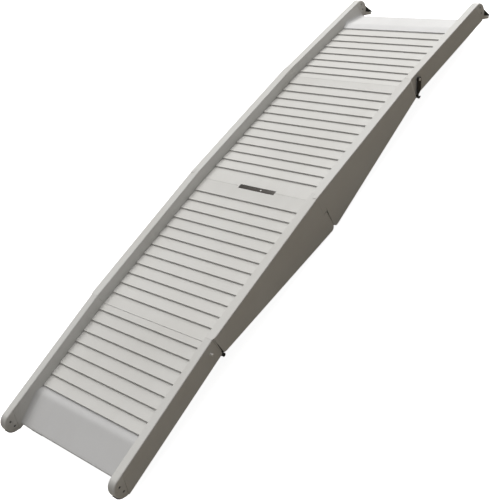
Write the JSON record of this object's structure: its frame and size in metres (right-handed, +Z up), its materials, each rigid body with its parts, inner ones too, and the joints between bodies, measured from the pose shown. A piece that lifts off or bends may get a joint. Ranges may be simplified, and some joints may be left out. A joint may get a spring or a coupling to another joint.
{
  "type": "folding dog ramp",
  "caption": "Folding ramp for a dog to walk up into a vehicle: stepped treads between side rails, hinged sections, grip ends and a side latch.",
  "frame": {"origin": "centre of the bounding box's base, on the floor the open ramp lies on", "axes": "+X across the ramp to the latch side, +Y along it from the ground end to the grip end, +Z up"},
  "size_m": [0.4128, 1.5606, 0.1113],
  "materials": {
    "grey_plastic": "fine moulded texture",
    "tread_plastic": "non-slip moulded texture",
    "plate_plastic": "smooth moulded",
    "black_rubber": "matte",
    "black_nylon": "satin",
    "bright_steel": "zinc plated",
    "dark_steel": "blackened",
    "dark_bar": "dark satin"
  },
  "bodies": {
    "lower_mid_section": {"lower_mid_deck": "tread_plastic", "lower_mid_rail_left": "grey_plastic", "lower_mid_rail_right": "grey_plastic", "lower_mid_ribs": "grey_plastic", "lower_hinge_frame": "grey_plastic", "centre_hinge_rod": "bright_steel", "lower_hinge_fork_left": "black_nylon", "lower_hinge_fork_right": "black_nylon", "lower_hinge_pin_left": "bright_steel", "lower_hinge_pin_right": "bright_steel"},
    "lower_section": {"lower_deck": "tread_plastic", "lower_rail_left": "grey_plastic", "lower_rail_right": "grey_plastic", "lower_ribs": "grey_plastic", "ground_plate": "plate_plastic", "ground_cap_left": "grey_plastic", "ground_cap_right": "grey_plastic", "ground_cap_screws": "dark_steel", "ground_bumper_left": "black_rubber", "ground_bumper_right": "black_rubber", "ground_foot_left": "black_rubber", "ground_foot_right": "black_rubber", "lower_hinge_tongue_left": "black_nylon", "lower_hinge_tongue_right": "black_nylon", "catch_peg": "bright_steel"},
    "upper_mid_section": {"upper_mid_deck": "tread_plastic", "upper_mid_rail_left": "grey_plastic", "upper_mid_rail_right": "grey_plastic", "upper_mid_ribs": "grey_plastic", "upper_hinge_frame": "grey_plastic", "carry_bar": "dark_bar", "carry_bar_stud": "bright_steel", "upper_hinge_fork_left": "black_nylon", "upper_hinge_fork_right": "black_nylon", "upper_hinge_pin_left": "bright_steel", "upper_hinge_pin_right": "bright_steel"},
    "upper_section": {"upper_deck": "tread_plastic", "upper_rail_left": "grey_plastic", "upper_rail_right": "grey_plastic", "upper_ribs": "grey_plastic", "top_plate": "tread_plastic", "grip_cap_left": "grey_plastic", "grip_cap_right": "grey_plastic", "grip_cap_screws": "dark_steel", "grip_pad_left": "black_rubber", "grip_pad_right": "black_rubber", "rest_foot_left": "black_rubber", "rest_foot_right": "black_rubber", "upper_hinge_tongue_left": "black_nylon", "upper_hinge_tongue_right": "black_nylon", "latch_spacer": "black_nylon", "latch_screw": "bright_steel"},
    "latch": {"latch_hook": "black_nylon"}
  },
  "joints": [
    {"name": "lower_fold", "type": "hinge", "parent": "lower_mid_section", "child": "lower_section", "pos_m": [-0.002, -0.42028, 0.04667], "axis": [1, 0, 0], "range_deg": [0, 176.55]},
    {"name": "centre_fold", "type": "hinge", "parent": "lower_mid_section", "child": "upper_mid_section", "pos_m": [-0.002, -0.00886, 0.004], "axis": [-1, 0, 0], "range_deg": [0, 176.9]},
    {"name": "upper_fold", "type": "hinge", "parent": "upper_mid_section", "child": "upper_section", "pos_m": [-0.002, 0.40256, 0.04667], "axis": [-1, 0, 0], "range_deg": [0, 176.55]},
    {"name": "latch_swing", "type": "hinge", "parent": "upper_section", "child": "latch", "pos_m": [0.2038, 0.42664, 0.08049], "axis": [-1, 0, 0], "range_deg": [-208.65, 151.35]}
  ]
}
